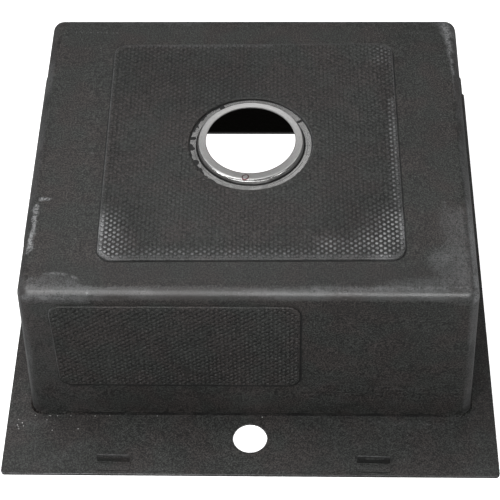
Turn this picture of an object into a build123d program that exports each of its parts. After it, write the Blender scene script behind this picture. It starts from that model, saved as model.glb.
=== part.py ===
"""Single-bowl drop-in kitchen sink, lying upside down on its deck.

All sizes are in millimetres. The finished face of the deck lies on Z = 0 and the
bowl stands up from it, so the underside that is hidden in use looks upwards.
The tap ledge, the rear of the sink, is on the -Y side.
"""
import os
from math import hypot

from build123d import *

# Deck: one thick flat plate with the tap ledge behind the bowl
deck_width = 500.0
deck_depth = 533.0
deck_thickness = 3.5
deck_corner_radius = 4.0
deck_arris = 0.5
tap_hole_diameter = 35.0
tap_hole_setback = 43.3

# Bowl: folded sheet, whose walls lean inwards as they leave the deck
side_rim = 24.0
rear_ledge = 72.0
front_rim = 64.0
bowl_height = 193.0
side_lean = 7.9
rear_lean = 7.9
front_lean = 11.7
sheet = 1.2
corner_radius = 12.0
bend_radius = 12.0
weld_leg = 2.0
weld_slope = 45.0

# Floor: four shallow falls that meet in creases and lead to a flat around the drain
floor_fall = 3.0
crown_margin = 1.0
drain_setback = 267.7
drain_flat = 126.0
drain_hole_diameter = 90.0
seat_diameter = 109.4
seat_rise = 7.1
seat_taper = 20.0
seat_rounding = 4.0

# Sound-deadening pads glued to the floor and to the walls
floor_pad_width = 295.0
floor_pad_depth = 293.5
floor_pad_margin = 39.7
floor_pad_shift = 1.6
floor_pad_skew = 0.5
floor_pad_thickness = 2.5
floor_pad_corner = 14.0
floor_pad_cutout = 125.0
wall_pad_width = 240.0
wall_pad_height = 124.0
wall_pad_thickness = 2.0
wall_pad_corner = 13.0
wall_pad_lift = 52.0
rear_pad_shift = -70.0
pad_bevel = 0.7
upright_tolerance = 0.01

# Clip brackets: slotted angles, spot welded near the edges of the deck
bracket_length = 33.0
bracket_foot = 10.8
bracket_height = 14.0
bracket_sheet = 1.2
bracket_bend = 1.8
bracket_corner = 2.0
bracket_setback = 3.7
slot_length = 20.0
slot_width = 3.2
slot_drop = 3.6
bracket_spacing = 261.0
rear_bracket_shift = -6.5
rear_bracket_skew = 1.5

# Places that follow from the sizes above
rear_edge = -deck_depth / 2
front_edge = deck_depth / 2
side_edge = deck_width / 2
mouth_width = deck_width - 2 * side_rim
mouth_rear = rear_edge + rear_ledge
mouth_front = front_edge - front_rim
floor_width = mouth_width - 2 * side_lean
floor_rear = mouth_rear + rear_lean
floor_front = mouth_front - front_lean
floor_z = deck_thickness + bowl_height
drain_flat_z = floor_z + floor_fall
drain_y = rear_edge + drain_setback
tap_hole_y = rear_edge + tap_hole_setback


def rounded_section(width, rear, front, z, inset, radius):
    """Rounded rectangle at height z that spans rear to front, drawn in by inset."""
    with BuildSketch(Plane((0, (rear + front) / 2, z))) as section:
        RectangleRounded(width - 2 * inset, front - rear - 2 * inset, radius)
    return section.sketch


def mouth_section(z, inset):
    """Outline of the bowl where it meets the deck."""
    return rounded_section(mouth_width, mouth_rear, mouth_front, z, inset, corner_radius - inset)


def frustum(base, base_z, top, top_z):
    """Solid between two rectangles, each given by its width, its rear and its front."""
    base_width, base_rear, base_front = base
    top_width, top_rear, top_front = top
    draw_in = (base_width - top_width) / 2
    with BuildPart() as block:
        with Locations((0, (base_rear + base_front) / 2, base_z)):
            Wedge(
                base_width,
                top_z - base_z,
                base_front - base_rear,
                draw_in,
                base_front - top_front,
                draw_in + top_width,
                base_front - top_rear,
                rotation=(90, 0, 0),
                align=(Align.CENTER, Align.MIN, Align.CENTER),
            )
    return block.part


def floor_crown(lift):
    """The four falls of the floor, raised by lift, as a low frustum."""
    inset = bend_radius + crown_margin
    foot = (floor_width - 2 * inset, floor_rear + inset, floor_front - inset)
    flat = (drain_flat, drain_y - drain_flat / 2, drain_y + drain_flat / 2)
    return frustum(foot, floor_z + lift, flat, drain_flat_z + lift)


def raised_floor(lift):
    """Everything between the plane of the floor's edges and its falls raised by lift."""
    with BuildPart() as raised:
        add(rounded_section(floor_width, floor_rear, floor_front, floor_z, 0, corner_radius))
        extrude(amount=lift)
        add(floor_crown(lift))
    return raised.part


def bowl_form(inset):
    """The solid form of the bowl, drawn in by inset on every face."""
    mouth = (mouth_width - 2 * inset, mouth_rear + inset, mouth_front - inset)
    floor = (floor_width - 2 * inset, floor_rear + inset, floor_front - inset)
    with BuildPart() as form:
        add(frustum(mouth, deck_thickness, floor, floor_z - inset))
        fillet(form.edges().group_by(Axis.Z)[1], corner_radius - inset)
        fillet(form.faces().sort_by(Axis.Z)[-1].edges(), bend_radius - inset)
        add(floor_crown(-inset))
        with BuildSketch(Plane((0, drain_y, drain_flat_z - inset))):
            Circle(seat_diameter / 2 - inset)
        extrude(amount=seat_rise, taper=seat_taper)
        fillet(form.faces().sort_by(Axis.Z)[-1].edges(), seat_rounding - inset)
    return form.part


def top_rims(slab):
    """Upper edges of a slab's upright faces, around its outline and its holes."""
    rims = ShapeList()
    for face in slab.faces().filter_by(lambda face: abs(face.normal_at().Z) < upright_tolerance):
        middle = face.center().Z
        rims += face.edges().filter_by(lambda edge: edge.center().Z > middle + pad_bevel)
    return rims


def wall_pad(foot, outward, lean, shift):
    """Pad glued to a leaning wall; shift runs along the wall from the middle of its foot."""
    normal = outward * bowl_height + Vector(0, 0, lean)
    wall = Plane(foot, x_dir=outward.cross(Vector(0, 0, -1)), z_dir=normal)
    lift = wall_pad_lift * hypot(bowl_height, lean) / bowl_height
    with BuildPart() as pad:
        with BuildSketch(wall):
            with Locations((shift, lift + wall_pad_height / 2)):
                RectangleRounded(wall_pad_width, wall_pad_height, wall_pad_corner)
        extrude(amount=wall_pad_thickness)
        chamfer(pad.faces().sort_by(Axis(foot, normal))[-1].edges(), pad_bevel)
    return pad.part


def slotted_angle():
    """Clip bracket on a deck whose edge is the X axis and whose inside is +Y."""
    heel = bracket_setback + bracket_foot
    with BuildPart() as angle:
        with BuildSketch(Plane.YZ) as profile:
            with BuildLine():
                Polyline(
                    (bracket_setback, 0),
                    (heel, 0),
                    (heel, bracket_height),
                    (heel - bracket_sheet, bracket_height),
                    (heel - bracket_sheet, bracket_sheet),
                    (bracket_setback, bracket_sheet),
                    close=True,
                )
            make_face()
            fillet(profile.vertices().sort_by_distance((heel, 0))[0], bracket_bend)
            inner_corner = (heel - bracket_sheet, bracket_sheet)
            fillet(profile.vertices().sort_by_distance(inner_corner)[0], bracket_bend - bracket_sheet)
        extrude(amount=bracket_length / 2, both=True)
        fillet(angle.edges().filter_by(Axis.Y).group_by(Axis.Z)[-1], bracket_corner)
        fillet(angle.edges().filter_by(Axis.Z).group_by(Axis.Y)[0], bracket_corner)
        with BuildSketch(Plane.XZ):
            with Locations((0, bracket_height - slot_drop)):
                SlotOverall(slot_length, slot_width)
        extrude(amount=-2 * heel, mode=Mode.SUBTRACT)
    return angle.part


# Deck plate, with its opening flush with the inside of the bowl's walls
with BuildPart() as deck_plate:
    with BuildSketch():
        RectangleRounded(deck_width, deck_depth, deck_corner_radius)
    extrude(amount=deck_thickness)
    chamfer(deck_plate.faces().sort_by(Axis.Z)[-1].edges(), deck_arris)
    fillet(deck_plate.faces().sort_by(Axis.Z)[0].edges(), deck_arris)
    add(mouth_section(0, sheet))
    extrude(amount=deck_thickness, mode=Mode.SUBTRACT)
    with Locations((0, tap_hole_y, deck_thickness)):
        Hole(tap_hole_diameter / 2)
deck_plate.part.label = "deck_plate"

# Bowl: one sheet with leaning walls, rolled bends, a creased floor and a pressed drain seat
outer_form = bowl_form(0)
cavity_form = bowl_form(sheet)
with BuildPart() as bowl:
    add(outer_form)
    add(cavity_form, mode=Mode.SUBTRACT)
    with Locations((0, drain_y, drain_flat_z + seat_rise)):
        Hole(drain_hole_diameter / 2, depth=seat_rise + sheet)
bowl.part.label = "bowl"

# Weld bead that runs round the foot of the walls and joins the bowl to the deck
with BuildPart() as weld_bead:
    add(mouth_section(deck_thickness, -weld_leg))
    extrude(amount=weld_leg, taper=weld_slope)
    add(outer_form, mode=Mode.SUBTRACT)
weld_bead.part.label = "weld_bead"

# Floor pad: a mat that follows the falls of the floor and is cut out around the drain
pad_middle = floor_rear + floor_pad_margin + floor_pad_depth / 2
raised_form = raised_floor(floor_pad_thickness)
with BuildPart() as floor_pad:
    with BuildSketch(Plane((floor_pad_shift, pad_middle, floor_z))):
        RectangleRounded(floor_pad_width, floor_pad_depth, floor_pad_corner, rotation=floor_pad_skew)
    extrude(amount=floor_fall + floor_pad_thickness)
    add(raised_form, mode=Mode.INTERSECT)
    add(outer_form, mode=Mode.SUBTRACT)
    with Locations((0, drain_y, drain_flat_z + floor_pad_thickness)):
        Hole(floor_pad_cutout / 2)
    chamfer(top_rims(floor_pad), pad_bevel)
floor_pad.part.label = "floor_pad"

# Wall pads, each given by the middle of its wall's foot, the way out, the lean and a shift
mouth_middle = (mouth_rear + mouth_front) / 2
pad_places = {
    "rear_pad": (Vector(0, mouth_rear, deck_thickness), Vector(0, -1, 0), rear_lean, rear_pad_shift),
    "front_pad": (Vector(0, mouth_front, deck_thickness), Vector(0, 1, 0), front_lean, 0),
    "left_pad": (Vector(-mouth_width / 2, mouth_middle, deck_thickness), Vector(-1, 0, 0), side_lean, 0),
    "right_pad": (Vector(mouth_width / 2, mouth_middle, deck_thickness), Vector(1, 0, 0), side_lean, 0),
}
wall_pads = []
for name, place in pad_places.items():
    pad = wall_pad(*place)
    pad.label = name
    wall_pads.append(pad)

# Clip brackets, each given by its place on the edge of the deck and its turn about Z
half_spacing = bracket_spacing / 2
quarter_turn = 90
bracket_places = {
    "clip_bracket_rear_left": (rear_bracket_shift - half_spacing, rear_edge, -rear_bracket_skew),
    "clip_bracket_rear_right": (rear_bracket_shift + half_spacing, rear_edge, -rear_bracket_skew),
    "clip_bracket_front_left": (-half_spacing, front_edge, 2 * quarter_turn),
    "clip_bracket_front_right": (half_spacing, front_edge, 2 * quarter_turn),
    "clip_bracket_side_left": (-side_edge, mouth_middle, -quarter_turn),
    "clip_bracket_side_right": (side_edge, mouth_middle, quarter_turn),
}
angle_form = slotted_angle()
clip_brackets = []
for name, (x, y, turn) in bracket_places.items():
    with BuildPart() as bracket:
        with Locations(Location((x, y, deck_thickness), (0, 0, turn))):
            add(angle_form)
    bracket.part.label = name
    clip_brackets.append(bracket.part)

os.makedirs("parts", exist_ok=True)
for piece in (deck_plate.part, bowl.part, weld_bead.part, floor_pad.part, *wall_pads, *clip_brackets):
    export_step(piece, f"parts/{piece.label}.step")
    print(piece.label, "volume", round(piece.volume, 1), "solids", len(piece.solids()))
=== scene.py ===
# %% [markdown]
# A kitchen sink lies upside down on its deck, so the side that the cupboard hides in use faces us.
# Steel sheet, a sprayed sound-deadening coat and dimpled mats are all there is to see, so this
# scene is a lesson in making dull dark surfaces look like what they are. The shapes of the deck,
# the bowl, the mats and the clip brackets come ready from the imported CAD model, which is loaded
# here and never moved. Blender adds the dimples, the weld spatter, the finishes, the light and the
# camera.

# %% Load the sink
import math
import random

import bpy
from mathutils import Matrix, Vector


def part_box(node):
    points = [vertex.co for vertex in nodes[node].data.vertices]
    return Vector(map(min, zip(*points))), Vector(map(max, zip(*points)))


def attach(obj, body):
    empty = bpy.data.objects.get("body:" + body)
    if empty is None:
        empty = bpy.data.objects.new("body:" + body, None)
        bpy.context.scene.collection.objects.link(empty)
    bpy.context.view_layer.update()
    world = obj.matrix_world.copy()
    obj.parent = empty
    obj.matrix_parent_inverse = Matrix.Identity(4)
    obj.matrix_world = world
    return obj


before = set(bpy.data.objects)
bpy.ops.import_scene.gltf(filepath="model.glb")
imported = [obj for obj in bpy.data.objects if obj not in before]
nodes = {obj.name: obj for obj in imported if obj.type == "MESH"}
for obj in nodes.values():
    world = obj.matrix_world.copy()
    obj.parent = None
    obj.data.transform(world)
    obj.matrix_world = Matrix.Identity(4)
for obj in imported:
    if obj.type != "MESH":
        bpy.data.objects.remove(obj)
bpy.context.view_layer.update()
print("pieces from the CAD:", sorted(nodes))

# %% [markdown]
# Many finishes below are grown from noise, and each takes a dozen nodes. Writing every node out in
# full hides the idea behind the typing, so short helpers do it: one adds a node and fills its
# sockets, a few do arithmetic, and others turn a value into a soft mask between two limits. They
# take plain values and sockets alike, and add to the tree that was put on the canvas last.

# %% Helpers for node trees
MM = 0.001
canvas = {"tree": None}


def link(start, end):
    """Join two sockets of the tree on the canvas."""
    canvas["tree"].links.new(start, end)


def add_node(kind, inputs=None, **settings):
    """Add a node, set its properties and fill its inputs from plain values or other sockets."""
    node = canvas["tree"].nodes.new(kind)
    for name, value in settings.items():
        setattr(node, name, value)
    for key, value in (inputs or {}).items():
        if isinstance(value, bpy.types.NodeSocket):
            link(value, node.inputs[key])
        else:
            node.inputs[key].default_value = value
    return node


def calculate(operation, *values):
    """Result of a Math node whose inputs are numbers or sockets."""
    return add_node("ShaderNodeMath", dict(enumerate(values)), operation=operation).outputs[0]


def fold(operation, values):
    """Result of one operation carried through all the values."""
    result = values[0]
    for value in values[1:]:
        result = calculate(operation, result, value)
    return result


def product(*values):
    """All the values multiplied together."""
    return fold("MULTIPLY", values)


def total(*values):
    """All the values added together."""
    return fold("ADD", values)


def highest(*values):
    """The highest of the values."""
    return fold("MAXIMUM", values)


def inverse(mask):
    """The mask turned inside out."""
    return calculate("SUBTRACT", 1.0, mask)


def vector_calculate(operation, *values):
    """Result of a Vector Math node: its vector, or its number where the operation gives one."""
    node = add_node("ShaderNodeVectorMath", dict(enumerate(values)), operation=operation)
    return node.outputs["Value" if operation in ("LENGTH", "DOT_PRODUCT", "DISTANCE") else "Vector"]


def scaled(vector, factor):
    """Vector made factor times as long."""
    inputs = {0: vector, "Scale": factor}
    return add_node("ShaderNodeVectorMath", inputs, operation="SCALE").outputs["Vector"]


def combine(x=0.0, y=0.0, z=0.0):
    """Vector put together from three numbers."""
    return add_node("ShaderNodeCombineXYZ", {"X": x, "Y": y, "Z": z}).outputs[0]


def separate(vector):
    """The three numbers of a vector, found by the names X, Y and Z."""
    return add_node("ShaderNodeSeparateXYZ", {"Vector": vector}).outputs


def plan(place):
    """Place seen from above: its X and its Y alone."""
    part = separate(place)
    return combine(part["X"], part["Y"])


def soft_mask(value, low, high):
    """0 below low, 1 above high and a smooth step between; give low above high to turn it round."""
    inputs = {"Value": value, "From Min": low, "From Max": high}
    return add_node("ShaderNodeMapRange", inputs, interpolation_type="SMOOTHSTEP").outputs[0]


def mask_mm(value, low, high):
    """Soft mask of a length whose two limits are given in millimetres."""
    return soft_mask(value, low * MM, high * MM)


def past(part, axis, limit):
    """1 where a place lies farther out along an axis than the limit in mm, and 0 elsewhere."""
    operation = "GREATER_THAN" if limit > 0 else "LESS_THAN"
    return calculate(operation, part[axis], limit * MM)


def blend(factor, first, second):
    """Number that goes from first to second as factor goes from 0 to 1."""
    inputs = {"Value": factor, "To Min": first, "To Max": second}
    return add_node("ShaderNodeMapRange", inputs).outputs[0]


def blend_colours(factor, first, second):
    """Colour that goes from first to second as factor goes from 0 to 1."""
    inputs = {0: factor, 6: first, 7: second}
    return add_node("ShaderNodeMix", inputs, data_type="RGBA").outputs[2]


def blend_vectors(factor, first, second):
    """Vector that goes from first to second as factor goes from 0 to 1."""
    inputs = {0: factor, 4: first, 5: second}
    return add_node("ShaderNodeMix", inputs, data_type="VECTOR").outputs[1]


def noise(place, scale, detail=3.0, roughness=0.55):
    """Value of a noise texture whose features measure about 1 / scale metres."""
    inputs = {"Vector": place, "Scale": scale, "Detail": detail, "Roughness": roughness}
    return add_node("ShaderNodeTexNoise", inputs).outputs[0]


def grey(value, warmth=0.0):
    """Linear colour of one brightness, a little warm where warmth is above 0."""
    return (value * (1 + warmth), value, value * (1 - warmth), 1.0)


def new_material(name):
    """Material with a plain Principled shader; its tree is put on the canvas."""
    material = bpy.data.materials.new(name)
    material.use_nodes = True
    canvas["tree"] = material.node_tree
    return material, material.node_tree.nodes["Principled BSDF"]


def shared_place():
    """Place of a point in the frame that all the pieces share."""
    return add_node("ShaderNodeTexCoord").outputs["Object"]


def facing_way():
    """The way the surface faces."""
    return add_node("ShaderNodeNewGeometry").outputs["Normal"]


def add_object(name, data):
    """Object that holds the data and is part of the scene."""
    thing = bpy.data.objects.new(name, data)
    bpy.context.scene.collection.objects.link(thing)
    return thing


# %% [markdown]
# The same coat covers the deck, the bowl, the mats and the brackets, sprayed on in one go. Close by
# it is a fine grit with a few pale grains, from a step away a mottled grey that drifts between warm
# and cool, and where hands and other sinks rubbed it, it is lighter and smoother. One function lays
# these layers into any tree that needs them, so the pieces match where they meet, because all of
# them read Object coordinates in one shared frame.

# %% The sprayed coat
COAT_DARK = 0.004
COAT_LIGHT = 0.044
COAT_WARM = (1.12, 0.98, 0.92, 1.0)
COAT_COOL = (0.98, 1.03, 0.95, 1.0)
COAT_RUBBED_AND_LIT = grey(0.115, -0.015)
COAT_SCRAPED = grey(0.30, -0.01)
COAT_GRAIN = grey(0.13, 0.01)
SHADE_AND_DUST_COLOUR = grey(0.003)
SCRAPE_START = 0.7
GRIT = 640.0
MOTTLE = 60.0
CLOUD = 9.0
HUE = 26.0
LUMPS = 220.0
GRIT_DEPTH = 0.45
LUMP_DEPTH = 0.8
COAT_GRAINS = (4.2, 0.75, 0.30)


def grains(place, pitch, size, share):
    """Mask of lone grains: a share of the cells holds one. Pitch and size are in mm."""
    pitch, size = pitch * MM, size * MM
    cells = add_node("ShaderNodeTexVoronoi", {"Vector": place, "Scale": 1 / pitch})
    pick = add_node("ShaderNodeSeparateColor", {"Color": cells.outputs["Color"]}).outputs[0]
    near = soft_mask(cells.outputs["Distance"], size / pitch, 0.5 * size / pitch)
    return product(near, calculate("LESS_THAN", pick, share))


def sprayed_coat(place, rub_and_highlight, shade_and_dust=0.0, smooth=0.0):
    """Colour, roughness and normal of the coat.

    The second value is 1 where the coat is worn and where a highlight is painted, and 2 where it is
    scraped; the third is 1 where shade is painted dark, with dust on the mats; the fourth, where it
    was stroked flat.
    """
    grit = noise(place, GRIT, 2.0, 0.7)
    mottle = noise(place, MOTTLE, 4.0, 0.65)
    cloud = noise(place, CLOUD, 2.0, 0.5)
    tone = total(product(grit, 0.80), product(mottle, 0.10), product(cloud, 0.07))
    tone = blend(smooth, soft_mask(tone, 0.40, 0.60), 0.55)
    level = blend(tone, COAT_DARK, COAT_LIGHT)
    hue = soft_mask(noise(place, HUE, 1.0), 0.40, 0.60)
    colour = scaled(blend_colours(hue, COAT_WARM, COAT_COOL), level)
    specks = product(grains(place, *COAT_GRAINS), 0.55)
    colour = blend_colours(specks, colour, COAT_GRAIN)
    patchy = soft_mask(total(grit, product(mottle, 0.8)), 0.68, 1.02)
    # Worn coat and painted highlights alike are mixed towards the rubbed colour, and past the
    # scraping start towards the scraped one.
    worn = product(rub_and_highlight, blend(patchy, 0.35, 1.0))
    colour = blend_colours(worn, colour, COAT_RUBBED_AND_LIT)
    scraped = calculate("SUBTRACT", worn, SCRAPE_START)
    colour = blend_colours(scraped, colour, COAT_SCRAPED)
    # Painted shade: where shade falls, and on the mats also where dust lies, the coat is mixed
    # towards near black.
    colour = blend_colours(shade_and_dust, colour, SHADE_AND_DUST_COLOUR)
    roughness = calculate("SUBTRACT", blend(mottle, 0.5, 0.7), product(rub_and_highlight, 0.2))
    fine = add_node("ShaderNodeBump", {
        "Strength": blend(smooth, 0.9, 0.35), "Distance": GRIT_DEPTH * MM, "Height": grit})
    coarse = add_node("ShaderNodeBump", {
        "Strength": blend(smooth, 0.6, 0.2), "Distance": LUMP_DEPTH * MM,
        "Height": noise(place, LUMPS, 2.0, 0.5), "Normal": fine.outputs[0]})
    return colour, roughness, coarse.outputs[0]


def finish_coat(shader, colour, roughness, normal):
    """Plug the coat's three values into a Principled shader."""
    link(colour, shader.inputs["Base Color"])
    link(roughness, shader.inputs["Roughness"])
    link(normal, shader.inputs["Normal"])


# %% [markdown]
# Wear comes in marks: scuffs, dashes and smears, each in its own place. Every one of them is a
# rounded rectangle on a flat view of its face, and one distance serves them all. It is the same
# distance that draws the outlines of the mats, so the marks and the dark line that the coat leaves
# around a mat come from one idea. Numbers are in millimetres, because that is what a ruler gives.

# %% Rounded rectangles and the marks drawn with them
def outline_distance(flat, core, corner):
    """Distance outside a rounded rectangle: core is half its size less the corner's radius."""
    over = vector_calculate("SUBTRACT", vector_calculate("ABSOLUTE", flat), core)
    over = vector_calculate("MAXIMUM", over, (0.0, 0.0, 0.0))
    return calculate("SUBTRACT", vector_calculate("LENGTH", over), corner)


def local_view(flat, centre, turn):
    """Flat place seen from a centre in mm, along axes turned by degrees."""
    away = vector_calculate("SUBTRACT", flat, [c * MM for c in (*centre, 0.0)])
    cosine, sine = math.cos(math.radians(turn)), math.sin(math.radians(turn))
    along = vector_calculate("DOT_PRODUCT", away, (cosine, sine, 0.0))
    return combine(along, vector_calculate("DOT_PRODUCT", away, (-sine, cosine, 0.0)))


def box_distance(flat, centre, size, corner, turn=0.0):
    """Distance outside a rounded rectangle given by its centre, size and corner in mm."""
    view = local_view(flat, centre, turn)
    core = [(length / 2 - corner) * MM for length in size]
    return outline_distance(view, (*core, 0.0), corner * MM)


def stroke(start, end, width, soft, strength):
    """Mark along a line: centre, size, corner, turn, softness and strength."""
    run = Vector(end) - Vector(start)
    middle = (Vector(end) + Vector(start)) / 2
    turn = math.degrees(math.atan2(run.y, run.x))
    return tuple(middle), (run.length + width, width), width / 2, turn, soft, strength


def mark_mask(flat, marks):
    """Strongest of the marks at each place."""
    masks = []
    for *shape, soft, strength in marks:
        distance = box_distance(flat, *shape)
        masks.append(product(mask_mm(distance, soft, -soft), strength))
    return highest(*masks)


# %% [markdown]
# Rub marks gather where the sheet is bent, because bends stick out and are what a sink is carried
# and stacked by. A bend is where the surface faces neither along an axis nor along another, so the
# product of two parts of its normal finds it without measuring anything. The other marks of the
# bowl are listed for two flat views: its floor seen from above and its rear wall seen from the
# rear.
# On the right rim a bright line is a painted highlight, and the left of the rear wall is painted
# lighter, where the light falls stronger.

# %% Where the bowl is rubbed, and where light and a highlight are painted on it
DRAIN_Y = 1.2
FLOOR_MARKS = (
    stroke((-209.5, -78), (-209.0, -112), 5.5, 1.6, 1.45),
    stroke((-210.5, -112), (-211.5, -136), 5.0, 2.0, 1.9),
    stroke((-206.5, -69.8), (-197.0, -70.2), 3.2, 1.0, 1.5),
    stroke((-215.0, -33), (-214.2, -61), 2.0, 1.2, 0.5),
    stroke((-187.7, -167.8), (-182.8, -178.5), 0.6, 0.7, 0.7),
    stroke((205, 180), (210, 164), 13.0, 5.0, 1.3),
    stroke((208, 162), (210, 142), 8.0, 3.5, 1.3),
    stroke((209.5, 142), (210, 106), 4.0, 2.0, 1.2),
    stroke((210.8, 106), (210.2, 68), 1.6, 1.6, 0.7),
    stroke((135, -176), (205, -168), 10.0, 6.0, 0.5),
    stroke((60, -180), (210, -178), 6.0, 3.0, 0.8),
    stroke((205, 181.5), (206, 178), 3.0, 2.0, 0.6),
    stroke((-140, 181.5), (-60, 182), 3.0, 2.5, 0.3),
    stroke((172, 181.5), (175, 180.5), 3.5, 2.0, 0.5),
    ((198, -156), (42, 60), 16.0, 24.0, 6.0, 0.50),
    ((198, -160), (34, 50), 6.0, 0.0, 4.0, 0.62),
    ((201, -118), (26, 76), 9.0, 2.0, 7.0, 0.42),
    stroke((190.5, -72), (187.2, -101), 1.0, 1.5, 0.7),
    stroke((187.2, -101), (192.0, -119), 1.0, 1.5, 0.8),
    stroke((192.0, -119), (182.0, -131), 1.2, 1.5, 0.8),
    stroke((108.9, -47.7), (132.2, -30.4), 0.5, 0.8, 0.3),
)
DASH_MARKS = (
    stroke((-205.2, 168.2), (-147.6, 166.6), 2.0, 0.8, 0.7),
    stroke((-206.5, 148.0), (-201.0, 147.2), 1.6, 0.8, 0.6),
    stroke((160.0, 165.9), (191.7, 165.7), 1.8, 0.8, 0.6),
)
STREAK_MARK = ((135, 45), (170, 52), 20.0, 0.0, 14.0, 0.8)
ARCH_CENTRE = (-183.0, -192.0)
ARCH_HALF = Vector((36.0, 31.0, 1.0)) * MM
ARCH_LINE = 0.95
ARCH_RUB = 0.60
WANDER = 8.0 * MM
BEND_RUB = (0.18, 0.55)
BAND_RUB = (0.12, 0.48)
BELOW_RUB = 0.80
CORNER_RUB = 0.80
STREAK_RUB = 0.22
LEFT_LIGHT_LIFT = 0.12


def bend_mask(normal):
    """1 on rolled bends and rounded corners, 0 on flat walls."""
    part = separate(normal)
    x, y, z = (calculate("ABSOLUTE", part[axis]) for axis in "XYZ")
    sideways = calculate("SQRT", calculate("SUBTRACT", 1.0, product(z, z)))
    bend = highest(product(z, sideways), product(x, y))
    return soft_mask(bend, 0.12, 0.48)


def bend_rub_and_rim_highlight(place, normal):
    """Rub on the bends: patches all round, then the near one and its two corners; a painted
    highlight on the right rim.
    """
    part = separate(place)
    facing = separate(normal)
    drift = soft_mask(noise(place, 14.0, 2.0), 0.42, 0.62)
    bends = product(bend_mask(normal), blend(drift, *BEND_RUB))
    ragged = total(noise(place, 60.0, 4.0, 0.7), facing["Y"])
    band = product(soft_mask(ragged, 0.36, 0.30), soft_mask(facing["Z"], 0.50, 0.75),
                   blend(mask_mm(part["X"], -60, -180), *BAND_RUB))
    below = product(soft_mask(facing["Y"], -0.6, -0.8), soft_mask(facing["Z"], 0.10, 0.25),
                    mask_mm(part["X"], -100, -180), BELOW_RUB)
    corners = highest(soft_mask(facing["X"], -0.50, -0.85), soft_mask(facing["X"], 0.86, 0.97))
    corners = product(corners, soft_mask(facing["Y"], -0.1, -0.22), CORNER_RUB)
    # Painted highlight: a bright line along the right rim.
    rim = product(soft_mask(facing["X"], 0.25, 0.60),
                  mask_mm(part["Z"], 176, 184), mask_mm(part["Y"], 50, -120))
    return highest(bends, band, below, corners, rim)


def floor_rub(place):
    """Rub on the floor: marks whose edges wander, broken dashes, and an arch with a thin line."""
    above = plan(place)
    scuffed = soft_mask(noise(place, 420.0, 3.0, 0.7), 0.36, 0.56)
    wander = add_node("ShaderNodeTexNoise", {"Vector": place, "Scale": 150.0})
    wander = vector_calculate("MULTIPLY_ADD", wander.outputs["Color"],
                              (WANDER, WANDER, 0.0), (-WANDER / 2, -WANDER / 2, 0.0))
    marks = mark_mask(vector_calculate("ADD", above, wander), FLOOR_MARKS)
    marks = product(marks, blend(scuffed, 0.35, 1.0))
    dashes = product(mark_mask(above, DASH_MARKS), soft_mask(noise(above, 520.0, 1.0), 0.52, 0.64))
    reach = vector_calculate("DIVIDE", local_view(above, ARCH_CENTRE, 0.0), ARCH_HALF)
    reach = vector_calculate("LENGTH", reach)
    off_line = calculate("ABSOLUTE", calculate("SUBTRACT", reach, ARCH_LINE))
    line = product(soft_mask(off_line, 0.09, 0.02), soft_mask(noise(place, 70.0, 2.0), 0.44, 0.58))
    arch = highest(product(soft_mask(reach, 1.0, 0.8), ARCH_RUB), line)
    arch = product(arch, blend(scuffed, 0.3, 1.0))
    on_top = mask_mm(separate(place)["Z"], 180, 186)
    return product(highest(marks, dashes, arch), on_top)


def wall_streaks_and_left_light(place, normal):
    """Rub on the rear wall: fine level streaks on the right; painted light on the left."""
    part = separate(place)
    backward = separate(normal)["Y"]
    lines = noise(vector_calculate("MULTIPLY", place, (0.12, 1.0, 1.0)), 600.0, 2.0)
    streaks = mark_mask(combine(part["X"], part["Z"]), (STREAK_MARK,))
    streaks = product(streaks, soft_mask(lines, 0.50, 0.62), STREAK_RUB,
                      calculate("LESS_THAN", backward, -0.9))
    # Painted light: the left of the rear wall is lighter, where the light falls stronger.
    left_light = product(mask_mm(part["X"], -120, -210), soft_mask(backward, -0.5, -0.9), LEFT_LIGHT_LIFT)
    return highest(streaks, left_light)


# %% [markdown]
# A thin dark line of painted shadow runs around each mat, where its edge shades the coat, and
# another one, on the weld bead, runs along the foot of the walls. A wall mat's line is moved down a
# little, where its shadow falls, and is drawn on the wall seen from its own side, so the mask also
# asks on which side of the bowl a place is.

# %% Painted shadow lines around the mats
FLOOR_TURN = 0.5
FLOOR_MAT = ((295.0, 293.5), 14.0, FLOOR_TURN)
WALL_MAT = ((240.0, 124.0), 13.0, 0.0)
WALL_LINE_SAG = 2.8
FLOOR_LEVEL = 190.0
MAT_VIEWS = {
    "floor_pad": ("XY", "Z", FLOOR_LEVEL),
    "rear_pad": ("XZ", "Y", -180.0),
    "front_pad": ("XZ", "Y", 180.0),
    "left_pad": ("YZ", "X", -205.0),
    "right_pad": ("YZ", "X", 205.0),
}


def mat_centre(mat, axes):
    """Centre of a mat's box in mm along some of the axes."""
    low, high = (dict(zip("XYZ", corner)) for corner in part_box(mat))
    return [(low[axis] + high[axis]) / 2 / MM for axis in axes]


def mat_shadow_lines(place):
    """1 in the painted shadow lines around the mats."""
    part = separate(place)
    width = blend(noise(place, 130.0, 2.0), 0.0, 2.4 * MM)
    lines = []
    for mat, (axes, outward, side) in MAT_VIEWS.items():
        shape, sag = (FLOOR_MAT, 0.0) if mat == "floor_pad" else (WALL_MAT, WALL_LINE_SAG)
        across, up = mat_centre(mat, axes)
        flat = combine(*(part[axis] for axis in axes))
        # Painted shadow: on a wall mat the line sags below the mat, where its shadow falls.
        distance = box_distance(flat, (across + 0.3 * sag, up - sag), *shape)
        near = mask_mm(calculate("SUBTRACT", distance, width), 0.4, -0.4)
        lines.append(product(near, past(part, outward, side)))
    return highest(*lines)
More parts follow.
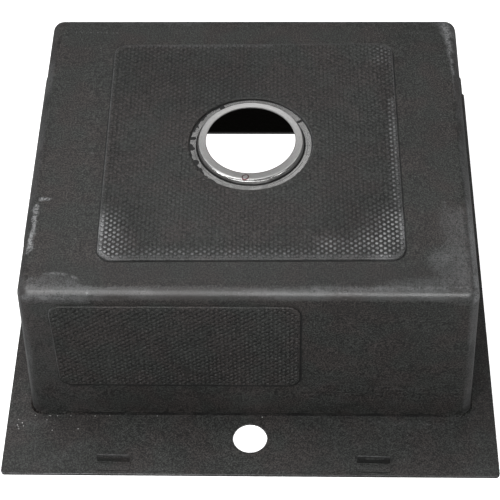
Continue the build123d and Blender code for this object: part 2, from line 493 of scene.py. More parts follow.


# %% [markdown]
# The bowl is one sheet with three finishes: coated outside, black inside, and bare brushed steel in
# a ring around the drain, where a plug kept the spray off. The plug left a ragged edge as it came
# away, mostly on the left, and a few nicks. The outside is where the surface faces away from the
# middle of the bowl. The ring is a circle about the drain's axis, and its edge steps in and out by
# an amount that is picked at random for each small sector of the circle. On the pressed seat the
# shading normal is turned by how far a place lies down its slope: that gives it the
# flatter top and the tighter edge that the photograph's highlight asks for, while the mesh keeps
# the imported shape.

# %% Material of the bowl
BOWL_MIDDLE = (0.0, 0.004, 0.1)
HOLE_RADIUS = 45.0
GROOVE_RADIUS = 54.9
RING_RADIUS = 61.25
GROOVES = ((GROOVE_RADIUS, 0.55, 0.85), (57.4, 0.6, 0.7))
RING_STEPS = ((16.0, 0.9), (7.0, 1.5), (4.0, 1.9))
RING_WOBBLE = 1.6
STEEL_DARK = grey(0.28, 0.012)
STEEL_LIGHT = grey(0.38, 0.008)
STEEL_DUST_AND_SHADE = grey(0.10, 0.01)
STEEL_LINE = grey(0.05)
STEEL_FOOT_SHADE = grey(0.03)
STEEL_METAL = 0.78
STEEL_ROUGH = 0.33
STEEL_ROUGH_ROLLED = 0.24
SEAT_TOP = 206.1
SEAT_FLAT = 49.3
SEAT_DISH = math.radians(-4)
SEAT_ROLL = math.radians(30)
SEAT_DROP = math.radians(50)
INK_AND_EDGE_SHADE = (0.07, 0.02, 0.025, 1.0)
INSIDE_BLACK = (0.0032, 0.0026, 0.0014, 1.0)
INSIDE_ROUGH = 0.8
BEND_GLOSS = 0.20
SHADED_FLOOR_STRIP = ((0, -164), (400, 30), 8.0, 0.0, 8.0, 0.30)
NICKS = (
    stroke((48.2, 31.0), (56.0, 36.0), 3.6, 0.3, 1.0),
    stroke((-28.0, 47.5), (-33.0, 55.0), 6.0, 0.3, 1.0),
    stroke((-57.5, 8.0), (-65.0, 8.0), 4.5, 0.3, 1.0),
    stroke((-58.5, -6.0), (-65.0, -6.5), 5.0, 0.3, 1.0),
    stroke((-55.0, -25.0), (-62.0, -30.0), 8.0, 0.4, 1.0),
)
TICKS = (
    stroke((56.0, -1.5), (60.0, -1.5), 0.7, 0.3, 0.8),
    stroke((55.5, -13.0), (58.5, -14.5), 0.7, 0.3, 0.8),
    stroke((-59.0, 14.0), (-58.5, 16.5), 0.7, 0.3, 0.7),
    stroke((-1.0, -55.5), (1.5, -57.5), 0.7, 0.3, 0.7),
    stroke((-0.6, 56.0), (-0.4, 60.0), 0.5, 0.3, 0.6),
)
INK_MARK = ((-4.3, -49.8), (6.2, 4.6), 2.3, 20.0)


def bare_mask(flat, radius):
    """1 on the bare ring, whose edge is ragged where the plug came away."""
    part = separate(flat)
    angle = calculate("ARCTAN2", part["Y"], part["X"])
    steps = []
    for sectors, depth in RING_STEPS:
        sector = calculate("FLOOR", product(angle, sectors))
        pick = add_node("ShaderNodeTexWhiteNoise", {"W": sector}, noise_dimensions="1D")
        pick = soft_mask(pick.outputs["Value"], 0.45, 0.9)
        steps.append(product(pick, depth * MM))
    steps = product(mask_mm(part["X"], -22, -48), total(*steps))
    wobble = calculate("SUBTRACT", noise(flat, 240.0, 2.0), 0.5)
    edge = total(RING_RADIUS * MM, product(wobble, RING_WOBBLE * MM))
    edge = calculate("SUBTRACT", edge, steps)
    bare = mask_mm(calculate("SUBTRACT", radius, edge), 0.15, -0.15)
    return product(bare, inverse(mark_mask(flat, NICKS)))


def ring_steel(flat, radius, run):
    """Colour of the bare steel: brushed, with groove lines, ticks and an ink mark; painted shade at
    the seat's foot, along the hole's near edge and in the dust on the near side.
    """
    part = separate(flat)
    near = mask_mm(part["Y"], 20, -20)
    round_about = scaled(vector_calculate("NORMALIZE", flat), 0.004)
    brushed = vector_calculate("ADD", round_about, combine(radius))
    brushed = soft_mask(noise(brushed, 2600.0, 3.0, 0.7), 0.35, 0.65)
    steel = blend_colours(brushed, STEEL_DARK, STEEL_LIGHT)

    # The inner groove line is painted shade at the foot of the pressed seat; the outer one is a
    # dark line on the flat.
    lines = []
    for line, width, strength in GROOVES:
        off = calculate("ABSOLUTE", calculate("SUBTRACT", radius, line * MM))
        lines.append(product(mask_mm(off, width, 0.4 * width), strength))
    broken = soft_mask(noise(flat, 60.0, 2.0), 0.42, 0.50)
    lines[1] = product(lines[1], broken, near)
    dark = highest(*lines, mark_mask(flat, TICKS))
    steel = blend_colours(dark, steel, STEEL_LINE)
    oval = calculate("ABSOLUTE", box_distance(flat, *INK_MARK))
    steel = blend_colours(mask_mm(oval, 0.8, 0.3), steel, INK_AND_EDGE_SHADE)
    # Painted shade: a thin reddish-dark line along the near edge of the drain hole, in the ink's
    # colour.
    edge_shade = mask_mm(radius, HOLE_RADIUS + 0.7, HOLE_RADIUS + 0.4)
    steel = blend_colours(product(edge_shade, near, 0.7), steel, INK_AND_EDGE_SHADE)

    # Dust on the flat outer ring, with painted shade: darker on the near side, and lighter on the
    # right.
    dust_and_shade = soft_mask(noise(flat, 90.0, 3.0), 0.40, 0.60)
    dust_and_shade = blend(dust_and_shade, blend(near, 0.05, 0.48), blend(near, 0.30, 0.74))
    lighter_right = mask_mm(part["X"], 46, 28)
    dust_and_shade = product(mask_mm(radius, GROOVE_RADIUS - 0.1, GROOVE_RADIUS + 0.3), dust_and_shade,
                   blend(lighter_right, 0.25, 1.0))
    steel = blend_colours(dust_and_shade, steel, STEEL_DUST_AND_SHADE)
    # Painted shade down the lower part of the seat's wall, at its foot.
    foot = product(mask_mm(run, 8.8, 11.2),
                   mask_mm(radius, GROOVE_RADIUS + 1.0, GROOVE_RADIUS + 0.4), 0.85)
    return blend_colours(foot, steel, STEEL_FOOT_SHADE)


def rolled_normal(flat, run):
    """Normal of the seat, tilted outward by the run down its slope: a dish, a roll and a drop."""
    tilt = blend(mask_mm(run, 1.5, 6.0), SEAT_DISH, SEAT_ROLL)
    tilt = total(tilt, product(mask_mm(run, 5.8, 8.9), SEAT_DROP))
    outward = vector_calculate("NORMALIZE", flat)
    outward = scaled(outward, calculate("SINE", tilt))
    upward = combine(z=calculate("COSINE", tilt))
    return vector_calculate("ADD", outward, upward)


def bowl_material():
    """Coat outside, black inside and bare steel around the drain."""
    material, shader = new_material("bowl_coat_and_steel")
    place, normal = shared_place(), facing_way()
    facing = separate(normal)
    from_drain = vector_calculate("SUBTRACT", place, (0.0, DRAIN_Y * MM, 0.0))
    flat = vector_calculate("MULTIPLY", from_drain, (1.0, 1.0, 0.0))
    radius = vector_calculate("LENGTH", flat)
    run = calculate("SUBTRACT", radius, separate(place)["Z"])
    run = total(run, (SEAT_TOP - SEAT_FLAT) * MM)
    bare = bare_mask(flat, radius)
    rolled = rolled_normal(flat, run)

    rub_and_highlight = highest(bend_rub_and_rim_highlight(place, normal), floor_rub(place), wall_streaks_and_left_light(place, normal))
    # Painted shadow: a dark halo just outside the bare ring, where the mat's cut edge shades the
    # floor. All three darkenings here are painted shade.
    shade = product(mask_mm(radius, RING_RADIUS + 4.0, RING_RADIUS), 0.6)
    # Painted shade: a darker strip across the floor beside the near bend.
    strip_shade = mark_mask(plan(place), (SHADED_FLOOR_STRIP,))
    dark = highest(mat_shadow_lines(place), shade, strip_shade)
    stroked = product(bend_mask(normal), soft_mask(facing["Y"], -0.1, -0.3),
                      soft_mask(facing["Z"], 0.05, 0.2))
    colour, roughness, bump = sprayed_coat(place, rub_and_highlight, dark, stroked)
    colour = blend_colours(bare, colour, ring_steel(flat, radius, run))
    roughness = calculate("SUBTRACT", roughness, product(stroked, BEND_GLOSS))
    rolled_over = soft_mask(separate(rolled)["Z"], 0.990, 0.96)
    steel_rough = blend(rolled_over, STEEL_ROUGH, STEEL_ROUGH_ROLLED)
    roughness = blend(bare, roughness, steel_rough)

    outward = vector_calculate("SUBTRACT", place, BOWL_MIDDLE)
    outward = vector_calculate("DOT_PRODUCT", normal, outward)
    outside = calculate("GREATER_THAN", outward, 0.0)
    rim = calculate("LESS_THAN", radius, (HOLE_RADIUS + 0.3) * MM)
    inside = inverse(highest(outside, rim))
    colour = blend_colours(inside, colour, INSIDE_BLACK)
    roughness = blend(inside, roughness, INSIDE_ROUGH)
    metal = highest(inside, product(bare, STEEL_METAL))
    link(metal, shader.inputs["Metallic"])
    on_seat = product(outside, mask_mm(radius, GROOVE_RADIUS + 0.1, GROOVE_RADIUS - 0.1),
                      mask_mm(radius, HOLE_RADIUS + 0.2, HOLE_RADIUS + 0.4))
    bump = blend_vectors(product(bare, outside), bump, normal)
    bump = blend_vectors(on_seat, bump, rolled)
    finish_coat(shader, colour, roughness, bump)
    return material


# %% [markdown]
# The deck is coated on the side that shows, and has the same black finish as the inside of the bowl
# on the face that it lies on. A highlight is painted along its arris, strongest on the left, and
# its right side is painted darker as shade. The coat of the floor mat is rubbed at its near corners
# and edges, where other sinks were slid over it; a highlight is painted along its rim and along the
# left-facing edges of every mat, and shade and dust are painted between the dimples. The brackets
# have painted shade on their upright sheet and a painted highlight along their top.

# %% Materials of the deck, the mats and the brackets
DECK_MARKS = (
    ((-190, -246), (60, 14), 7.0, 32.0, 6.0, 0.30),
    ((-225, -207), (46, 12), 6.0, -6.0, 4.0, 0.32),
    ((165, -206), (84, 7), 3.5, -3.0, 3.0, 0.38),
    ((188, -212), (30, 3), 1.5, 20.0, 1.5, 0.35),
    stroke((-196, -258), (-181, -242), 1.0, 1.2, 0.4),
    stroke((-60, -225), (-44, -206), 1.0, 1.4, 0.2),
    ((228, -258), (26, 8), 4.0, 0.0, 4.0, 0.30),
)
MAT_MARKS = (
    ((-137, -121), (30, 58), 14.0, 14.0, 16.0, 1.20),
    ((134, -118), (40, 66), 16.0, -35.0, 17.0, 1.10),
    ((100, -132), (70, 22), 10.0, 0.0, 9.0, 0.75),
    ((0, -140), (280, 10), 5.0, 0.0, 5.0, 0.55),
    ((143, -20), (8, 130), 4.0, 0.0, 3.0, 0.65),
    ((143, 52), (6, 26), 3.0, 0.0, 2.0, 0.65),
    ((136, 128), (22, 30), 10.0, 0.0, 8.0, 0.40),
    ((-60, 143), (160, 5), 2.0, 0.0, 2.5, 0.30),
)
RELIEF_MARKS = (
    ((-75, 95), (150, 100), 30.0, -25.0, 30.0, 1.0),
    ((-125, -115), (70, 90), 25.0, 0.0, 20.0, 1.0),
    ((120, -105), (90, 90), 30.0, 20.0, 20.0, 1.0),
    ((0, -138), (300, 18), 8.0, 0.0, 10.0, 0.8),
    ((141, 0), (16, 290), 6.0, 0.0, 6.0, 0.8),
    ((-143, 0), (16, 290), 6.0, 0.0, 6.0, 0.8),
)
RIGHT_SHADE = 0.18
SEAM_GRAINS = (5.0, 1.2, 0.35)


def deck_material():
    """Coat on the upper side with a painted highlight along the arris and painted shade on the
    right, and black on the face that it lies on.
    """
    material, shader = new_material("deck_coat")
    place = shared_place()
    facing = separate(facing_way())
    across = separate(place)["X"]
    slope = product(facing["Z"], inverse(facing["Z"]))
    # Painted highlight along the arris, strongest on the left, where the light comes from.
    arris_highlight = product(soft_mask(slope, 0.1, 0.2), blend(mask_mm(across, 60, -120), 0.5, 1.0))
    curls = soft_mask(noise(place, 380.0, 3.0, 0.7), 0.48, 0.62)
    smears = mark_mask(plan(place), DECK_MARKS)
    smears = product(smears, blend(curls, 0.2, 1.0))
    worn = soft_mask(noise(place, 12.0, 2.0), 0.40, 0.62)
    worn = product(curls, blend(worn, 0.06, 0.16))
    # Painted shade: the right side of the deck is darker, where the bowl's shade falls.
    shade = product(mask_mm(across, 20, 80), RIGHT_SHADE)
    rub_and_highlight = highest(arris_highlight, smears, worn)
    colour, roughness, bump = sprayed_coat(place, rub_and_highlight, shade)
    below = calculate("LESS_THAN", facing["Z"], -0.5)
    colour = blend_colours(below, colour, INSIDE_BLACK)
    finish_coat(shader, colour, roughness, bump)
    return material


def mat_material():
    """Coat of the mats: rubbed at the corners, painted highlights at rim and left edges, painted
    shade and dust between dimples.
    """
    material, shader = new_material("mat_coat")
    place = shared_place()
    flat = plan(place)
    on_floor = past(separate(place), "Z", FLOOR_LEVEL)
    inward = box_distance(flat, mat_centre("floor_pad", "XY"), *FLOOR_MAT)
    margin = mask_mm(inward, -7, -3)
    # Painted highlight: a light line just inside the floor mat's outline.
    rim = product(mask_mm(inward, -2.8, -1.2), 0.3)
    rub_and_highlight = product(mark_mask(flat, MAT_MARKS), blend(margin, 0.1, 1.0))
    rub_and_highlight = product(highest(rub_and_highlight, rim), on_floor)
    # Painted highlight on every mat's left-facing edges, where the light comes from.
    left_edge_highlight = soft_mask(separate(facing_way())["X"], -0.3, -0.8)
    rub_and_highlight = highest(rub_and_highlight, product(left_edge_highlight, 0.9))
    # Painted shade and dust: the mat's face between the dimples is darker, most on the wall mats
    # and where the dimples stand full height.
    clear = highest(inverse(on_floor), mark_mask(flat, RELIEF_MARKS))
    between = product(inverse(margin), blend(clear, 0.04, 0.34))
    finish_coat(shader, *sprayed_coat(place, rub_and_highlight, between))
    return material


def bracket_material():
    """Coat of the brackets: painted shade on their upright sheet, most on the right, and a painted
    highlight on top.
    """
    material, shader = new_material("bracket_coat")
    place = shared_place()
    part = separate(place)
    level = calculate("ABSOLUTE", separate(facing_way())["Z"])
    # Painted shade on the upright sheet, most on the right bracket.
    upright = calculate("LESS_THAN", level, 0.3)
    dark = product(upright, blend(mask_mm(part["X"], -50, 50), 0.2, 0.7))
    # Painted highlight along the top edge.
    top = product(mask_mm(part["Z"], 13, 14), 0.5)
    rub_and_highlight = highest(top, 0.05)
    finish_coat(shader, *sprayed_coat(place, rub_and_highlight, dark))
    return material


def seam_material():
    """Coat of the weld bead: painted shade away from the corners, with bright grains on the left.
    """
    material, shader = new_material("seam_coat")
    place = shared_place()
    across = separate(place)["X"]
    bright = product(grains(place, *SEAM_GRAINS), 0.9, mask_mm(across, -100, -160))
    off_corner = product(mask_mm(across, -205, -150), mask_mm(across, 205, 180))
    # Painted shade in the crease at the foot of the wall, weaker towards the corners.
    depth = blend(soft_mask(noise(place, 25.0, 2.0), 0.4, 0.6), 0.6, 0.95)
    depth = product(depth, blend(off_corner, 0.2, 1.0))
    finish_coat(shader, *sprayed_coat(place, bright, depth))
    shader.inputs["Specular IOR Level"].default_value = 0.1
    return material


def dress(name, material):
    """Give a CAD node one material; its mesh isn't touched."""
    slots = nodes[name].data.materials
    slots.clear()
    slots.append(material)


dress("bowl", bowl_material())
dress("deck_plate", deck_material())
dress("weld_bead", seam_material())
mat_coat, bracket_coat = mat_material(), bracket_material()
for name in nodes:
    if name.endswith("_pad"):
        dress(name, mat_coat)
    if name.startswith("clip_bracket"):
        dress(name, bracket_coat)
print("finishes:", [m.name for m in bpy.data.materials if m.users])

# %% [markdown]
# The mats are rubber sheet with a staggered lattice of low round dimples, thousands of them. They
# repeat, so Geometry Nodes place them: a flat grid of points is shifted by half a pitch in every
# second column, cut to the mat's outline, dropped on the mat's surface along its normal with a
# Raycast, and each point then gets one dimple. The coat lies thicker in the middle of the floor mat
# and half drowns its dimples, so they are at their full height only where the relief marks say so.

# %% The tree that sets dimples on a mat
DIMPLE_SEGMENTS = 8
DIMPLE_RINGS = 2
DOME_ANGLE = math.radians(80)
COLUMN_PITCH = 4.0
DIMPLE_PITCH = 5.85
DIAGONAL = math.atan2(DIMPLE_PITCH / 2, COLUMN_PITCH)
JITTER = 0.12 * MM
RAY_START = 10 * MM
RAY_LENGTH = 30 * MM
DIMPLE_INPUTS = (
    ("Mat", "Object", None),
    ("Centre", "Vector", None),
    ("Turn", "Vector", None),
    ("Width", "Float", 0.3),
    ("Height", "Float", 0.3),
    ("Corner", "Float", 13 * MM),
    ("Column Pitch", "Float", COLUMN_PITCH * MM),
    ("Dimple Pitch", "Float", DIMPLE_PITCH * MM),
    ("Margin", "Float", 3 * MM),
    ("Hole Radius", "Float", 0.0),
    ("Hole Offset", "Float", 0.0),
    ("Dimple Radius", "Float", 2.1 * MM),
    ("Dimple Height", "Float", 1 * MM),
    ("Least Relief", "Float", 1.0),
    ("Stretch", "Float", 1.0),
    ("Seed", "Int", 3),
    ("Coat", "Material", None),
)


def new_tree(name, inputs):
    """Geometry Nodes tree with named inputs: the tree, what it is given and where it ends."""
    tree = canvas["tree"] = bpy.data.node_groups.new(name, "GeometryNodeTree")
    for label, kind, value in (("Geometry", "Geometry", None), *inputs):
        socket = tree.interface.new_socket(label, in_out="INPUT", socket_type="NodeSocket" + kind)
        if value is not None:
            socket.default_value = value
    tree.interface.new_socket("Geometry", in_out="OUTPUT", socket_type="NodeSocketGeometry")
    given = tree.nodes.new("NodeGroupInput").outputs
    return tree, given, tree.nodes.new("NodeGroupOutput").inputs["Geometry"]


def set_on_points(inputs, material, end):
    """Set a piece on every point, make the copies real and smooth, and give them a material."""
    copies = add_node("GeometryNodeInstanceOnPoints", inputs).outputs[0]
    for kind in ("GeometryNodeRealizeInstances", "GeometryNodeSetShadeSmooth"):
        copies = add_node(kind, {"Geometry": copies}).outputs[0]
    inputs = {"Geometry": copies, "Material": material}
    copies = add_node("GeometryNodeSetMaterial", inputs).outputs[0]
    link(copies, end)


def lattice(given, here):
    """Flat grid of points, every second column shifted, cut to the mat's outline and its hole."""
    columns, rows = (
        calculate("CEIL", calculate("DIVIDE", given[length], given[pitch]))
        for length, pitch in (("Width", "Column Pitch"), ("Height", "Dimple Pitch")))
    grid = add_node("GeometryNodeMeshGrid", {
        "Size X": product(columns, given["Column Pitch"]),
        "Size Y": product(rows, given["Dimple Pitch"]), "Vertices X": total(columns, 1.0),
        "Vertices Y": total(rows, 1.0)}).outputs["Mesh"]
    index = add_node("GeometryNodeInputIndex").outputs[0]
    column = calculate("DIVIDE", index, total(rows, 1.0))
    second = calculate("MODULO", calculate("FLOOR", column), 2.0)
    shift = product(second, given["Dimple Pitch"], 0.5)
    jitter = add_node("FunctionNodeRandomValue", {
        "Min": (-JITTER, -JITTER, 0.0), "Max": (JITTER, JITTER, 0.0), "Seed": given["Seed"]},
        data_type="FLOAT_VECTOR").outputs[0]
    staggered = vector_calculate("ADD", jitter, combine(y=shift))
    points = add_node("GeometryNodeSetPosition", {"Geometry": grid, "Offset": staggered}).outputs[0]

    core = (calculate("SUBTRACT", product(given[side], 0.5), given["Corner"])
            for side in ("Width", "Height"))
    outline = outline_distance(here, combine(*core), given["Corner"])
    outline = total(outline, given["Margin"])
    beyond = calculate("GREATER_THAN", outline, 0.0)
    from_hole = vector_calculate("DISTANCE", here, combine(y=given["Hole Offset"]))
    in_hole = calculate("LESS_THAN", from_hole, given["Hole Radius"])
    return add_node("GeometryNodeDeleteGeometry", {
        "Geometry": points, "Selection": highest(beyond, in_hole)}).outputs[0]


def drop_on_mat(given, here, points, turn):
    """The points where they land on the mat, and the way the mat faces there."""
    points = add_node("GeometryNodeTransform", {
        "Geometry": points, "Translation": given["Centre"], "Rotation": given["Turn"]}).outputs[0]
    up = add_node("FunctionNodeRotateVector", {
        "Vector": (0.0, 0.0, 1.0), "Rotation": turn}).outputs[0]
    mat = add_node("GeometryNodeObjectInfo", {"Object": given["Mat"]}).outputs["Geometry"]
    ray = add_node("GeometryNodeRaycast", {
        "Target Geometry": mat, "Ray Direction": scaled(up, -1.0), "Ray Length": RAY_LENGTH,
        "Source Position": vector_calculate("ADD", here, scaled(up, RAY_START))})
    points = add_node("GeometryNodeCaptureAttribute", {"Geometry": points})
    for kind, name, found in (("BOOLEAN", "hit", "Is Hit"), ("VECTOR", "spot", "Hit Position"),
                              ("VECTOR", "facing", "Hit Normal")):
        points.capture_items.new(kind, name)
        link(ray.outputs[found], points.inputs[name])
    captured = points.outputs
    on_mat = add_node("GeometryNodeSetPosition", {
        "Geometry": captured["Geometry"], "Position": captured["spot"]}).outputs[0]
    missed = add_node("FunctionNodeBooleanMath", {0: captured["hit"]}, operation="NOT")
    on_mat = add_node("GeometryNodeDeleteGeometry", {
        "Geometry": on_mat, "Selection": missed.outputs[0]}).outputs[0]
    return on_mat, captured["facing"]


def one_dimple(given, here):
    """Cone bent into a dome, each point of which stores how far up it is."""
    cone = add_node("GeometryNodeMeshCone", {
        "Vertices": DIMPLE_SEGMENTS, "Side Segments": DIMPLE_RINGS, "Radius Top": 0.5,
        "Radius Bottom": 1.0, "Depth": 1.0}, fill_type="NGON").outputs["Mesh"]
    angle = product(separate(here)["Z"], DOME_ANGLE)
    rise = calculate("SINE", angle)
    spread = product(calculate("COSINE", angle), given["Dimple Radius"])
    out = scaled(vector_calculate("NORMALIZE", plan(here)), spread)
    high = combine(z=product(rise, given["Dimple Height"]))
    cone = add_node("GeometryNodeStoreNamedAttribute", {
        "Geometry": cone, "Name": "rise", "Value": rise},
        data_type="FLOAT", domain="POINT").outputs[0]
    return add_node("GeometryNodeSetPosition", {
        "Geometry": cone, "Position": vector_calculate("ADD", out, high)}).outputs[0]


def dimple_tree():
    """Tree that covers one mat with dimples."""
    tree, given, end = new_tree("dimples_on_a_mat", DIMPLE_INPUTS)
    here = add_node("GeometryNodeInputPosition").outputs[0]
    points = lattice(given, here)
    turn = add_node("FunctionNodeEulerToRotation", {"Euler": given["Turn"]}).outputs[0]
    points, facing = drop_on_mat(given, here, points, turn)
    dome = one_dimple(given, here)

    spin = add_node("FunctionNodeAxisAngleToRotation", {
        "Axis": (0.0, 0.0, 1.0), "Angle": DIAGONAL}).outputs[0]
    spun = add_node("FunctionNodeRotateRotation", {
        "Rotation": turn, "Rotate By": spin}, rotation_space="LOCAL").outputs[0]
    stand = add_node("FunctionNodeAlignRotationToVector", {
        "Rotation": spun, "Vector": facing}, axis="Z").outputs[0]
    size = add_node("FunctionNodeRandomValue", {
        "Min": (0.92, 0.92, 0.8), "Max": (1.08, 1.08, 1.1), "Seed": given["Seed"]},
        data_type="FLOAT_VECTOR").outputs[0]
    relief = blend(mark_mask(plan(here), RELIEF_MARKS), given["Least Relief"], 1.0)
    narrow = calculate("DIVIDE", 1.0, given["Stretch"])
    size = vector_calculate("MULTIPLY", size, combine(given["Stretch"], narrow, relief))
    set_on_points({"Points": points, "Instance": dome, "Rotation": stand, "Scale": size},
                  given["Coat"], end)
    return tree


dimples_on_a_mat = dimple_tree()
print("inputs:", ", ".join(name for name, *_ in DIMPLE_INPUTS))

# %% [markdown]
# Dimples are rubbed on their tops only, so the tree stores how far up its dimple each point is, and
# the finish reads that attribute. Between the dimples shade and dust are painted in, so the lower
# half of each is painted a little darker than its top even where nothing rubbed it.

# %% Material of the dimples
def dimple_material():
    """Coat of the dimples: rubbed on their tops where the mat is, and painted shade at their feet.
    """
    material, shader = new_material("dimple_coat")
    place = shared_place()
    flat = plan(place)
    on_floor = past(separate(place), "Z", FLOOR_LEVEL)
    rise = add_node("ShaderNodeAttribute", attribute_name="rise").outputs["Fac"]
    marks = product(mark_mask(flat, MAT_MARKS), on_floor, 1.5)
    rub_and_highlight = product(soft_mask(rise, 0.35, 0.9), total(0.12, marks))
    clear = highest(mark_mask(flat, RELIEF_MARKS), inverse(on_floor))
    # Painted shade: the lower half of each dimple is darker, more where the dimples stand full
    # height and on the walls.
    foot = product(soft_mask(rise, 0.6, 0.0), blend(clear, 0.3, 0.8))
    finish_coat(shader, *sprayed_coat(place, rub_and_highlight, foot))
    return material


dimple_coat = dimple_material()

# %% [markdown]
# Each mat gets a lattice of its own. A wall mat's lattice is turned up to the lean of its wall, and
# round to face the way the wall faces, and all of them are centred on the mat's own box. Only the
# right mat's stops short at its far end, where the photograph's mat ends sooner than the solid
# does.

# %% Dimples on the five mats
SIDE_LEAN = math.atan2(7.9, 193.0)
FRONT_LEAN = math.atan2(11.7, 193.0)
RIGHT_ANGLE = math.pi / 2
TURNS = {
    "floor_pad": (0, 0, math.radians(FLOOR_TURN)),
    "rear_pad": (RIGHT_ANGLE - SIDE_LEAN, 0, 0),
    "front_pad": (RIGHT_ANGLE - FRONT_LEAN, 0, math.pi),
    "left_pad": (RIGHT_ANGLE - SIDE_LEAN, 0, -RIGHT_ANGLE),
    "right_pad": (RIGHT_ANGLE - SIDE_LEAN, 0, RIGHT_ANGLE),
}
WALL_DIMPLES = {"Stretch": 1.3, "Dimple Height": 0.8 * MM}
MAT_DIMPLES = {
    "floor_pad": {"Hole Radius": 65 * MM, "Least Relief": 0.4},
    "rear_pad": {"Stretch": 1.3, "Dimple Height": 1.3 * MM},
    "front_pad": WALL_DIMPLES,
    "left_pad": {**WALL_DIMPLES, "Margin": 10 * MM},
    "right_pad": WALL_DIMPLES,
}
RIGHT_PLAIN = 18.0


def grow(tree, carrier, values, name):
    """Run a Geometry Nodes tree on a carrier and keep what it made as a plain mesh object."""
    modifier = carrier.modifiers.new(name, "NODES")
    modifier.node_group = tree
    for item in tree.interface.items_tree:
        if item.in_out == "INPUT" and item.name in values:
            modifier[item.identifier] = values[item.name]
    bpy.context.view_layer.update()
    evaluated = carrier.evaluated_get(bpy.context.evaluated_depsgraph_get())
    mesh = bpy.data.meshes.new_from_object(evaluated)
    bpy.data.objects.remove(carrier)
    print(name, "faces", len(mesh.polygons))
    return add_object(name, mesh)


def carrier_of(points):
    """Object whose mesh is nothing but points, for a tree to work on."""
    mesh = bpy.data.meshes.new("carrier")
    mesh.from_pydata(points, [], [])
    return add_object("carrier", mesh)


for seed, mat in enumerate(MAT_VIEWS):
    low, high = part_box(mat)
    centre = (low + high) / 2
    width, height = (FLOOR_MAT if mat == "floor_pad" else WALL_MAT)[0]
    if mat == "right_pad":
        width -= RIGHT_PLAIN
        centre.y -= RIGHT_PLAIN / 2 * MM
    values = {
        "Mat": nodes[mat], "Centre": centre, "Turn": TURNS[mat],
        "Width": width * MM, "Height": height * MM, "Hole Offset": DRAIN_Y * MM - centre.y,
        "Seed": seed, "Coat": dimple_coat, **MAT_DIMPLES[mat]}
    dimples = grow(dimples_on_a_mat, carrier_of([]), values, mat.replace("pad", "dimples"))
    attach(dimples, "root")

# %% [markdown]
# Welding throws off tiny beads of steel that stick to the sheet and catch the light through the
# coat. They lie along the foot of the rear wall, mostly on the left, and beside the two rear clip
# brackets, where the spot welds are. Each is a flattened ball, set on the deck by a second tree.

# %% Weld spatter
DECK_TOP = 3.5
SPOT_WELDS = ((-147.2, -259.0), (-123.8, -262.4), (125.9, -259.1), (140.5, -252.5))
FOOT_SPATTER = (-222.0, -207.5, -206.0, -199.0, -185.0, -160.0, -145.0, -96.0, 12.0)
SPATTER_SEED = 5
STRAY_SPATTER = 9
FOOT_LINE = -197.2
STRAY_CORNER = (-242.0, -203.0)
STRAY_SPREAD = (75.0, -14.0)
SPATTER_INPUTS = (("Radius", "Float", 0.7 * MM), ("Seed", "Int", 1), ("Steel", "Material", None))


def spatter_tree():
    """Tree that sets a flattened ball on every point."""
    tree, given, end = new_tree("balls_on_points", SPATTER_INPUTS)
    ball = add_node("GeometryNodeMeshIcoSphere", {
        "Radius": given["Radius"], "Subdivisions": 2}).outputs[0]
    size = add_node("FunctionNodeRandomValue", {
        "Min": (0.5, 0.5, 0.3), "Max": (1.1, 1.0, 0.6), "Seed": given["Seed"]},
        data_type="FLOAT_VECTOR").outputs[0]
    set_on_points({"Points": given["Geometry"], "Instance": ball, "Scale": size},
                  given["Steel"], end)
    return tree


def spatter_material():
    """Bright steel with tarnish."""
    material, shader = new_material("spatter_steel")
    tarnish = soft_mask(noise(shared_place(), 900.0), 0.35, 0.7)
    colour = blend_colours(tarnish, grey(0.6), grey(0.25, 0.02))
    link(colour, shader.inputs["Base Color"])
    link(blend(tarnish, 0.3, 0.6), shader.inputs["Roughness"])
    shader.inputs["Metallic"].default_value = 0.6
    return material


def spatter_places():
    """Where the beads lie: on the spot welds, along the wall's foot, and a few strays."""
    dice = random.Random(SPATTER_SEED)
    places = list(SPOT_WELDS)
    places += [(x, FOOT_LINE - dice.random()) for x in FOOT_SPATTER]
    for _ in range(STRAY_SPATTER):
        x = STRAY_CORNER[0] + STRAY_SPREAD[0] * dice.random() ** 1.5
        places.append((x, STRAY_CORNER[1] + STRAY_SPREAD[1] * dice.random()))
    return [Vector((x, y, DECK_TOP)) * MM for x, y in places]


spatter = grow(spatter_tree(), carrier_of(spatter_places()), {
    "Seed": SPATTER_SEED, "Steel": spatter_material()}, "weld_spatter")
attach(spatter, "root")

# %% [markdown]
# The floor that the sink lies on is plain and pale, and far away it sweeps up into a wall, so that
# low views have a pale background too. Right under the sink it glows, as a light table does, so
# that it stays white where it is seen through the drain hole and the tap hole, deep inside the dark
# bowl. Only the camera sees it: so white a floor would light the walls from below far more than the
# photograph shows, so bounced light passes through it. It is stage, not part of the object, and it
# lies a hair below the deck's finished face so that the two don't flicker.

# %% Floor
FLOOR_GLOW = 0.80
UNDER_GLOW = 1.30
UNDER_HALF = Vector((222.0, 201.5, 1000.0)) * MM
FLOOR_DROP = 0.3
SWEEP_SIDES = 48
SWEEP_PROFILE = ((6.0, 0.0), (6.8, 0.1), (7.4, 0.4), (7.8, 0.9), (8.0, 1.6), (8.0, 6.0))
floor_white, shader = new_material("floor_white")
under = outline_distance(shared_place(), UNDER_HALF, 0.0)
glow = blend(mask_mm(under, 3, 0), FLOOR_GLOW, UNDER_GLOW)
link(glow, shader.inputs["Emission Strength"])
shader.inputs["Emission Color"].default_value = grey(1.0)
shader.inputs["Base Color"].default_value = grey(0.82)
shader.inputs["Roughness"].default_value = 0.9
shader.inputs["Specular IOR Level"].default_value = 0.1


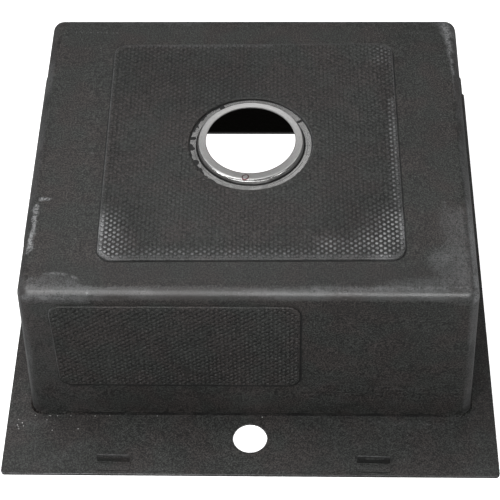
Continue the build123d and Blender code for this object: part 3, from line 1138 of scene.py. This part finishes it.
def stage_piece(name, corners, faces, casts_shadow):
    """Mesh in the floor's white that the camera sees and bounced light doesn't."""
    mesh = bpy.data.meshes.new(name)
    mesh.from_pydata(corners, [], faces)
    mesh.materials.append(floor_white)
    mesh.shade_smooth()
    piece = add_object(name, mesh)
    piece.visible_diffuse = piece.visible_glossy = False
    piece.visible_shadow = casts_shadow


turns = [math.tau * side / SWEEP_SIDES for side in range(SWEEP_SIDES)]
rings = [[(reach * math.cos(turn), reach * math.sin(turn), height - FLOOR_DROP * MM)
          for turn in turns] for reach, height in SWEEP_PROFILE]
bands = []
for foot in range(0, SWEEP_SIDES * (len(rings) - 1), SWEEP_SIDES):
    for side in range(SWEEP_SIDES):
        ahead = (side + 1) % SWEEP_SIDES
        head = foot + SWEEP_SIDES
        bands.append((foot + side, foot + ahead, head + ahead, head + side))
stage_piece("studio_floor", rings[0], [range(SWEEP_SIDES)], True)
stage_piece("studio_sweep", sum(rings, []), bands, False)
print("stage: floor and sweep,", len(bands), "faces of sweep")

# %% [markdown]
# The photograph has the even light of a studio: shadows are faint, the near bend has one broad band
# of shine that ends sharply where the sheet turns down, and the right side of the deck lies in the
# bowl's soft shade. That asks for a wide arch of soft boxes from just behind the sink to low in
# front of it, stronger on the left, and for two narrow ones beside it. How strong each has to be
# was found by lighting the scene with one box at a time and fitting their sum to the photograph.
# Between them the studio itself adds hardly any light from above. From below the world shines as a
# pale floor would, a little weaker than the white one that the camera sees, so that the walls keep
# their depth.

# %% Light
FLOOR_BOUNCE = 0.44
STUDIO_GLOW = 0.09
SINK_HEIGHT = 0.1
SOFT_BOXES = (
    ("rear_box", (0.0, 0.90, 1.70), (1.2, 0.5), 5.6),
    ("top_left_box", (-0.5, 0.28, 2.08), (1.0, 0.65), 13.5),
    ("front_left_box", (-0.5, -1.06, 1.80), (1.0, 0.65), 13.0),
    ("low_left_box", (-0.5, -1.576, 1.331), (1.0, 0.65), 8.4),
    ("low_right_box", (0.5, -1.576, 1.331), (1.0, 0.65), 15.0),
    ("left_strip_box", (-1.04, -0.18, 1.80), (0.25, 0.35), 4.5),
    ("right_strip_box", (0.96, -0.20, 1.84), (0.25, 0.35), 2.6),
)

for name, place, size, power in SOFT_BOXES:
    lamp = bpy.data.lights.new(name, "AREA")
    lamp.shape = "RECTANGLE"
    lamp.size, lamp.size_y = size
    lamp.energy = power
    away = Vector(place) - Vector((place[0], 0.0, SINK_HEIGHT))
    turn = away.to_track_quat("Z", "Y").to_matrix().to_4x4()
    add_object(name, lamp).matrix_world = Matrix.Translation(place) @ turn
world = bpy.data.worlds.new("pale_studio")
world.use_nodes = True
canvas["tree"] = world.node_tree
way = add_node("ShaderNodeTexCoord").outputs["Generated"]
below = soft_mask(separate(way)["Z"], 0.05, -0.05)
background = world.node_tree.nodes["Background"]
link(blend(below, STUDIO_GLOW, FLOOR_BOUNCE), background.inputs["Strength"])
background.inputs["Color"].default_value = grey(1.0)
bpy.context.scene.world = world
bpy.context.scene.view_settings.view_transform = "Standard"
print("soft boxes:", ", ".join(f"{name} {power} W" for name, *_, power in SOFT_BOXES))

# %% [markdown]
# The camera was found by fitting a pinhole camera and the sink's main sizes to edges measured in
# the photograph. It stands about 1.7 m away, looks down at 51 degrees and sees the sink through a
# long lens.

# %% Camera
CAMERA_PLACE = Vector((0.03919, -1.05425, 1.34639))
CAMERA_PITCH = math.radians(51.278)
CAMERA_YAW = math.radians(2.331)
CAMERA_ROLL = math.radians(-1.623)
PHOTO_SIDE = 500
FOCAL_PIXELS = 1541.57
lens = bpy.data.cameras.new("photographer")
lens.sensor_width = 36.0
lens.lens = lens.sensor_width * FOCAL_PIXELS / PHOTO_SIDE
camera = add_object("photographer", lens)
camera.matrix_world = (
    Matrix.Translation(CAMERA_PLACE)
    @ Matrix.Rotation(CAMERA_YAW, 4, "Z")
    @ Matrix.Rotation(RIGHT_ANGLE - CAMERA_PITCH, 4, "X")
    @ Matrix.Rotation(CAMERA_ROLL, 4, "Z")
)
bpy.context.scene.camera = camera
print("lens", round(lens.lens, 1), "mm")
